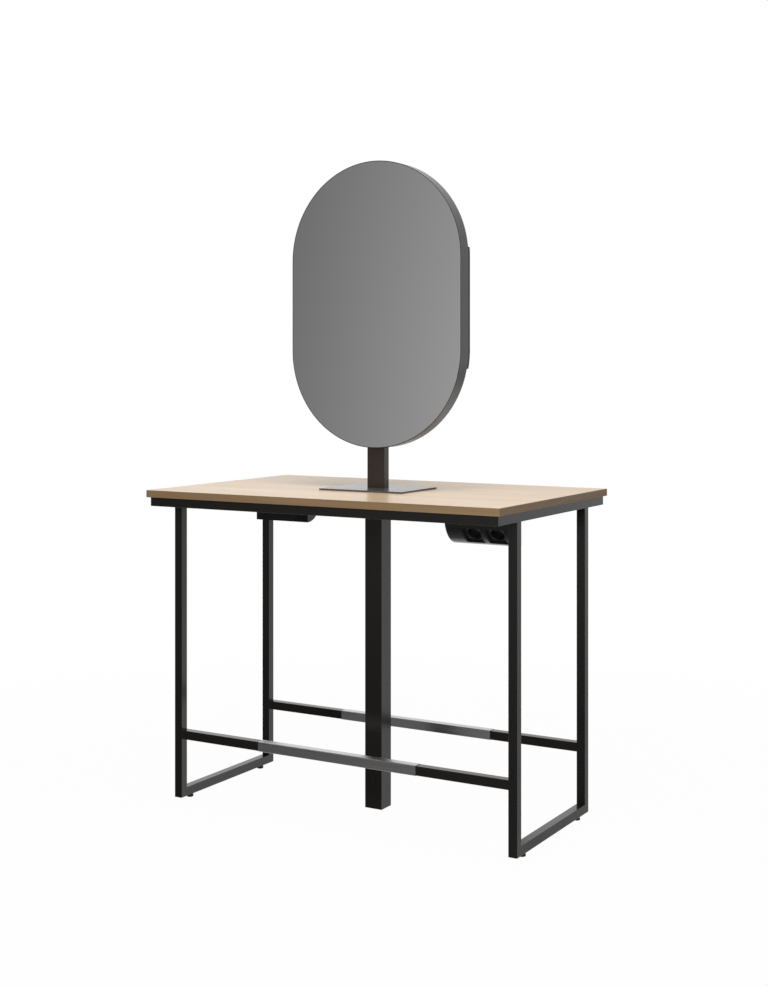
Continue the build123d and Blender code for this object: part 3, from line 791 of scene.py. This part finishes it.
class STATION_OT_build_stage(bpy.types.Operator):
    """Floor, soft studio light, white surround and the camera"""

    bl_idname = "station.build_stage"
    bl_label = "Build the stage"

    def execute(self, context):
        stage = context.scene.station_stage
        context.scene.view_settings.view_transform = "Standard"
        self.make_floor(stage)
        self.make_surround(context.scene, stage)
        target = stage.lamp_target
        self.make_lamp("Overhead softbox", stage.top_place, target, stage.top_width, stage.top_power)
        self.make_lamp("Key softbox", stage.key_place, target, stage.key_width, stage.key_power)
        self.make_camera(context.scene, stage)
        return {"FINISHED"}

    def make_floor(self, stage):
        """Matt floor, nearly plain white to the camera, and quite plain further out."""
        shape = bmesh.new()
        bmesh.ops.create_circle(shape, cap_ends=True, segments=FLOOR_SEGMENTS, radius=FLOOR_RADIUS)
        mesh = bpy.data.meshes.new("studio_floor")
        shape.to_mesh(mesh)
        shape.free()
        floor = new_piece("studio_floor", mesh)
        floor.location.z = -stage.floor_drop
        floor.visible_glossy = False
        paint = Finish("Floor paint")
        seen = paint.node("ShaderNodeLightPath", output="Is Camera Ray")
        reach = paint.node("ShaderNodeVectorMath", {"operation": "LENGTH"}, {0: paint.place}, "Value")
        clear = paint.eased(reach, SHADOW_FADE, (stage.floor_white, 1.0))
        matt = paint.node("ShaderNodeBsdfDiffuse", inputs={"Color": rgba(stage.floor_grey)})
        white = paint.node("ShaderNodeEmission", inputs={"Color": rgba(WHITE), "Strength": 1.0})
        mixed = paint.node("ShaderNodeMixShader", inputs={0: seen * clear, 1: matt, 2: white})
        paint.node("ShaderNodeOutputMaterial", inputs={"Surface": mixed})
        mesh.materials.append(paint.material)

    def make_surround(self, scene, stage):
        """White to the camera, a soft light on the object, and a shaped room in its gloss."""
        world = bpy.data.worlds.new("Studio surround")
        world.use_nodes = True
        world.node_tree.nodes.clear()
        scene.world = world
        tree = Tree(world.node_tree)
        way = tree.node("ShaderNodeTexCoord", output="Generated")
        axes = {name: tree.node("ShaderNodeSeparateXYZ", inputs={0: way}, output=name) for name in "XYZ"}
        room = {name: tree.eased(axes[axis], span, levels) for name, (axis, span, levels) in ROOM.items()}
        front = tree.eased(axes["X"], DIM_TO_FRONT, (stage.dim_side, stage.front_side))
        skirting = 1.0 - room["dark skirting"] * room["top of the skirting"]
        ahead = front * room["ceiling"] * skirting
        band = room["under the horizon"] * room["over the near floor"]
        dip = room["dip begins"] - room["dip ends"]
        behind = room["left glow"] * room["right fall"] - band * dip
        steep = room["steep"] * room["clear of the rear"]
        under = 1.0 - steep * (1.0 - stage.under_side)
        gloss = (ahead + room["rear"] * (behind - ahead)) * under
        camera = tree.node("ShaderNodeLightPath", output="Is Camera Ray")
        glossy = tree.node("ShaderNodeLightPath", output="Is Glossy Ray")
        through = tree.node("ShaderNodeLightPath", output="Is Transmission Ray")
        shown = (glossy + through) > 0.5
        level = shown * gloss + (1.0 - shown) * stage.ambient
        strength = camera + (1.0 - camera) * level
        light = tree.node("ShaderNodeBackground", inputs={"Color": rgba(WHITE), "Strength": strength})
        tree.node("ShaderNodeOutputWorld", inputs={"Surface": light})

    def make_lamp(self, name, place, target, width, watts):
        """A square softbox that faces its target and leaves no glint."""
        data = bpy.data.lights.new(name, "AREA")
        data.shape = "SQUARE"
        data.size = width
        data.energy = watts
        lamp = bpy.data.objects.new(name, data)
        lamp.location = place
        lamp.rotation_euler = (Vector(target) - Vector(place)).to_track_quat("-Z", "Y").to_euler()
        lamp.visible_glossy = False
        bpy.context.scene.collection.objects.link(lamp)

    def make_camera(self, scene, stage):
        """A level camera whose shift puts the horizon on its row."""
        data = bpy.data.cameras.new("Photo camera")
        data.sensor_fit = "AUTO"
        data.sensor_width = SENSOR
        data.lens = SENSOR * FOCAL_PIXELS / max(PHOTO_WIDTH, PHOTO_HEIGHT)
        data.shift_y = (HORIZON_ROW - PHOTO_HEIGHT / 2) / PHOTO_HEIGHT
        data.clip_end = VIEW_REACH
        camera = bpy.data.objects.new("Photo camera", data)
        camera.location = stage.camera_place
        camera.rotation_euler = (pi / 2, 0.0, stage.camera_turn)
        scene.collection.objects.link(camera)
        scene.camera = camera


OPERATORS = (STATION_OT_finish_top, STATION_OT_finish_frame, STATION_OT_finish_mirror,
             STATION_OT_finish_sockets, STATION_OT_finish_fasteners, STATION_OT_make_feet,
             STATION_OT_make_screws, STATION_OT_build_stage)


class STATION_PT_sidebar(bpy.types.Panel):
    """The station's steps and settings in the sidebar"""

    bl_idname = "STATION_PT_sidebar"
    bl_label = "Salon Station"
    bl_space_type = "VIEW_3D"
    bl_region_type = "UI"
    bl_category = "Salon Station"

    def draw(self, context):
        for operator in OPERATORS:
            self.layout.operator(operator.bl_idname)
        for name in SETTINGS:
            group = getattr(context.scene, name)
            for label in group.bl_rna.properties.keys():
                if label not in ("rna_type", "name"):
                    self.layout.prop(group, label)


SETTINGS = {"station_finishes": StationFinishes, "station_fittings": StationFittings,
            "station_stage": StationStage}
CLASSES = (*SETTINGS.values(), *OPERATORS, STATION_PT_sidebar)


def register():
    for item in CLASSES:
        bpy.utils.register_class(item)
    for name, group in SETTINGS.items():
        setattr(bpy.types.Scene, name, PointerProperty(type=group))


def unregister():
    for name in SETTINGS:
        delattr(bpy.types.Scene, name)
    for item in reversed(CLASSES):
        bpy.utils.unregister_class(item)


def main():
    register()
    bpy.ops.station.finish_top()
    bpy.ops.station.finish_frame()
    bpy.ops.station.finish_mirror()
    bpy.ops.station.finish_sockets()
    bpy.ops.station.finish_fasteners()
    bpy.ops.station.make_feet()
    bpy.ops.station.make_screws()
    bpy.ops.station.build_stage()


if __name__ == "__main__":
    main()
